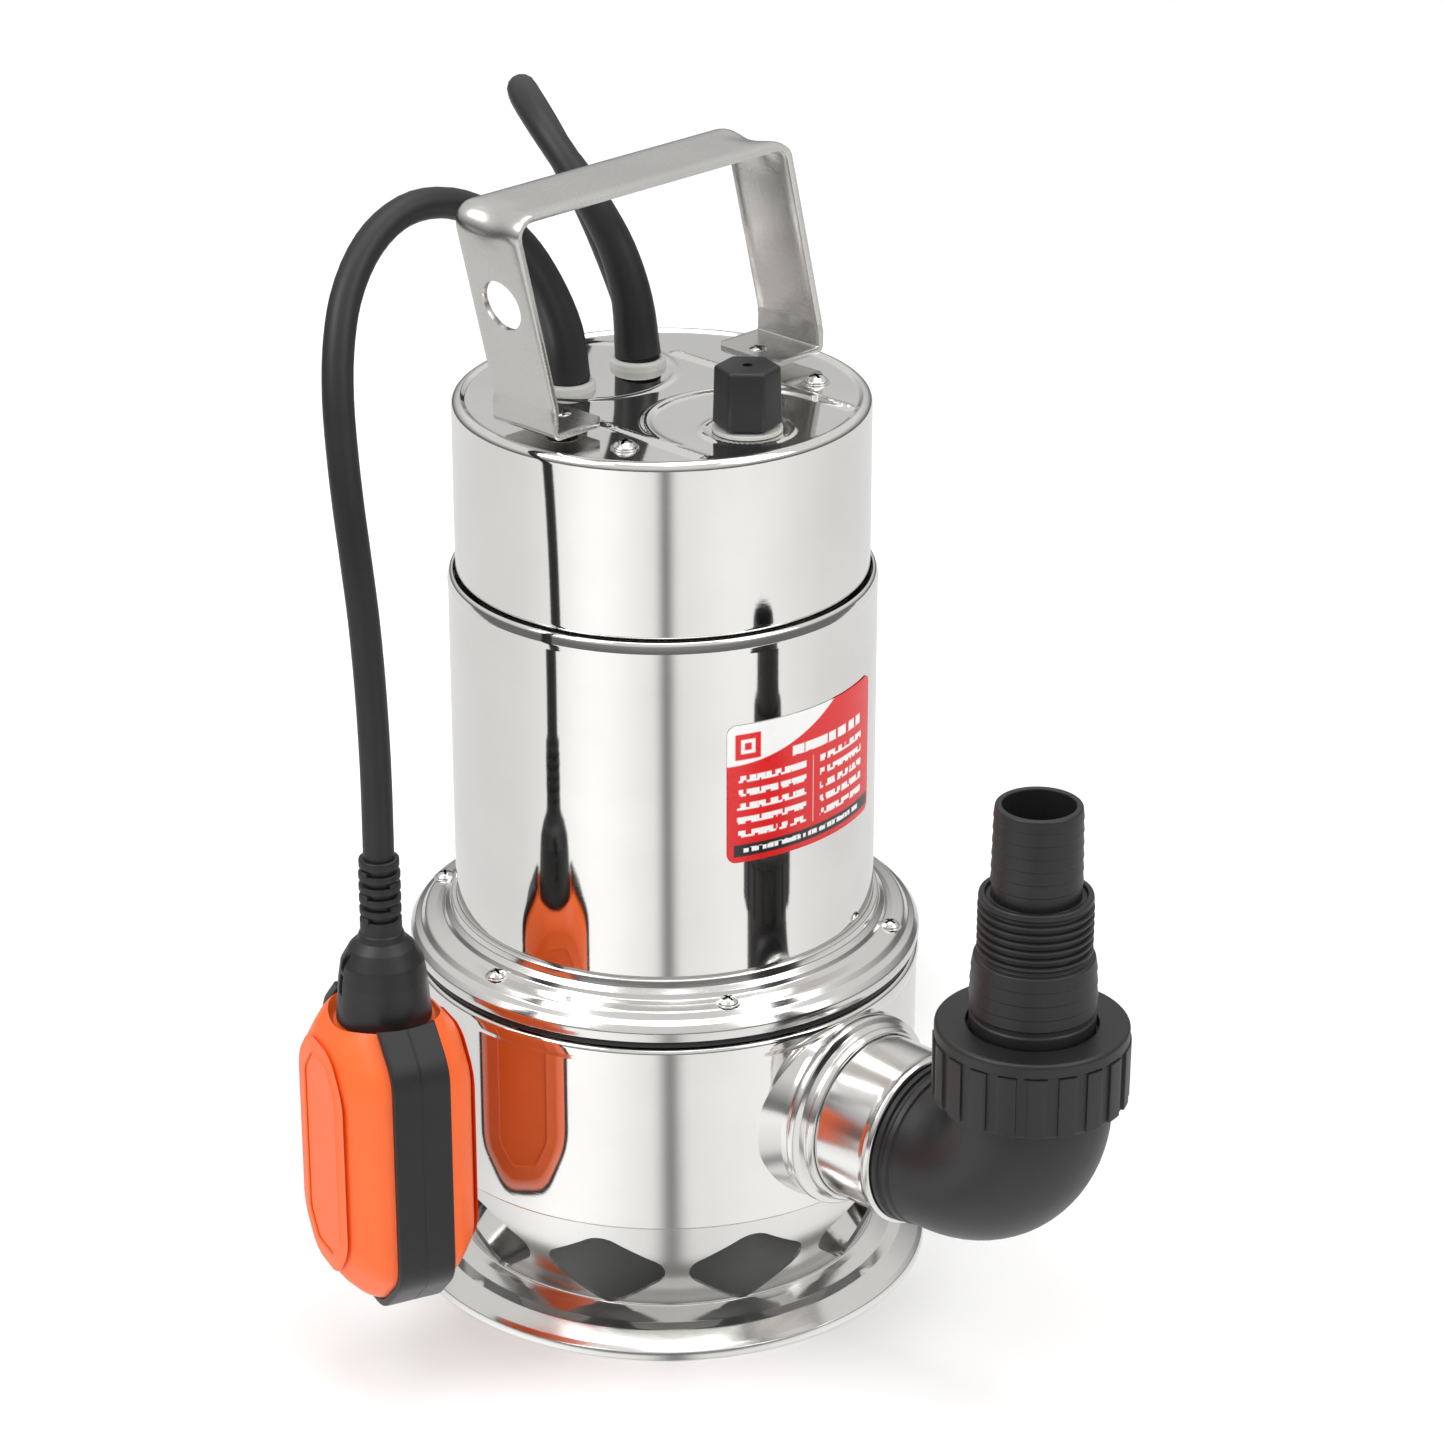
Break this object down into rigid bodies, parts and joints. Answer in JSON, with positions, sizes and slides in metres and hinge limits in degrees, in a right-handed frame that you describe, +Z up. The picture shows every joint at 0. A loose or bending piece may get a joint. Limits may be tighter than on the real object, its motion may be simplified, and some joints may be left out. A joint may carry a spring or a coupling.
{
  "type": "submersible sump pump",
  "caption": "Submersible dirty-water pump: polished steel motor housing and strainer foot, strap handle, float switch on its cable, and an outlet elbow with a stepped hose adapter.",
  "frame": {"origin": "on the motor's axis, on the underside of the foot", "axes": "+Z up along the motor's axis; +X out of the outlet; the float hangs on the -Y side"},
  "size_m": [0.3775, 0.3612, 0.3495],
  "materials": {
    "polished_steel": "mirror-polished stainless sheet",
    "brushed_strap": "satin stainless strip",
    "zinc_screw": "bright pan-head screws",
    "black_plastic": "satin moulded black plastic",
    "black_rubber": "black rubber cable sheath and seals",
    "grey_rubber": "pale grey rubber",
    "orange_plastic": "orange moulded plastic",
    "motor_iron": "laminated motor iron",
    "copper_wire": "varnished copper wire",
    "cast_alloy": "as-cast alloy",
    "shaft_steel": "ground steel",
    "brass_pin": "bright brass",
    "ivory_plastic": "ivory plastic"
  },
  "bodies": {
    "pump": {"motor_cover": "polished_steel", "cover_seal": "black_rubber", "motor_shell": "polished_steel", "carry_handle": "brushed_strap", "handle_screw_1": "zinc_screw", "handle_screw_2": "zinc_screw", "cover_screw_1": "zinc_screw", "cover_screw_2": "zinc_screw", "gland_ring_float": "grey_rubber", "gland_ring_power": "grey_rubber", "strain_relief_float": "black_rubber", "strain_relief_power": "black_rubber", "vent_cap_washer": "grey_rubber", "flange_ring": "polished_steel", "flange_screw_1": "zinc_screw", "flange_screw_2": "zinc_screw", "flange_screw_3": "zinc_screw", "flange_screw_4": "zinc_screw", "flange_screw_5": "zinc_screw", "flange_screw_6": "zinc_screw", "casing_seal": "black_rubber", "pump_casing": "polished_steel", "outlet_stub": "polished_steel", "outlet_collar": "polished_steel", "strainer_base": "polished_steel", "base_plate": "polished_steel", "suction_plate": "cast_alloy", "stator_core": "motor_iron", "winding_upper": "copper_wire", "winding_lower": "copper_wire", "bearing_bracket": "cast_alloy", "seal_housing": "cast_alloy", "bearing_upper": "shaft_steel", "bearing_lower": "shaft_steel", "shaft_seal": "black_rubber", "capacitor": "ivory_plastic", "float_strain_relief": "black_rubber", "float_cable": "black_rubber", "power_cable": "black_rubber", "cable_coil": "black_rubber", "cable_tail": "black_rubber", "plug_body": "black_rubber", "plug_pin_a": "brass_pin", "plug_pin_b": "brass_pin"},
    "rotor": {"shaft": "shaft_steel", "rotor_core": "motor_iron", "impeller": "black_plastic", "impeller_nut": "zinc_screw"},
    "outlet_elbow": {"elbow": "black_plastic", "elbow_gasket": "black_rubber", "hose_adapter": "black_plastic"},
    "union_nut": {"union_nut": "black_plastic"},
    "vent_cap": {"vent_cap": "black_plastic"},
    "float": {"float_shell_outer": "orange_plastic", "float_shell_inner": "orange_plastic", "float_band": "black_rubber", "float_collar": "black_plastic", "float_microswitch": "black_plastic", "float_ball_tube": "ivory_plastic"},
    "float_ball": {"float_ball": "shaft_steel"}
  },
  "joints": [
    {"name": "rotor_spin", "type": "hinge", "parent": "pump", "child": "rotor", "pos_m": [0, 0, 0], "axis": [0, 0, 1], "continuous": true},
    {"name": "elbow_turn", "type": "hinge", "parent": "pump", "child": "outlet_elbow", "pos_m": [0.12, 0, 0.0716], "axis": [1, 0, 0], "range_deg": [-90, 90]},
    {"name": "union_nut_turn", "type": "hinge", "parent": "outlet_elbow", "child": "union_nut", "pos_m": [0.146, 0, 0.114], "axis": [0, 0, 1], "continuous": true},
    {"name": "vent_cap_turn", "type": "hinge", "parent": "pump", "child": "vent_cap", "pos_m": [0.0385, -0.0044, 0.2761], "axis": [0, 0, 1], "continuous": true},
    {"name": "float_swing", "type": "hinge", "parent": "pump", "child": "float", "pos_m": [0, -0.114, 0.1425], "axis": [-0.9397, 0.342, 0], "range_deg": [0, 90]},
    {"name": "float_ball_roll", "type": "slide", "parent": "float", "child": "float_ball", "axis": [0, 0, 1], "range_m": [0, 0.024]}
  ]
}
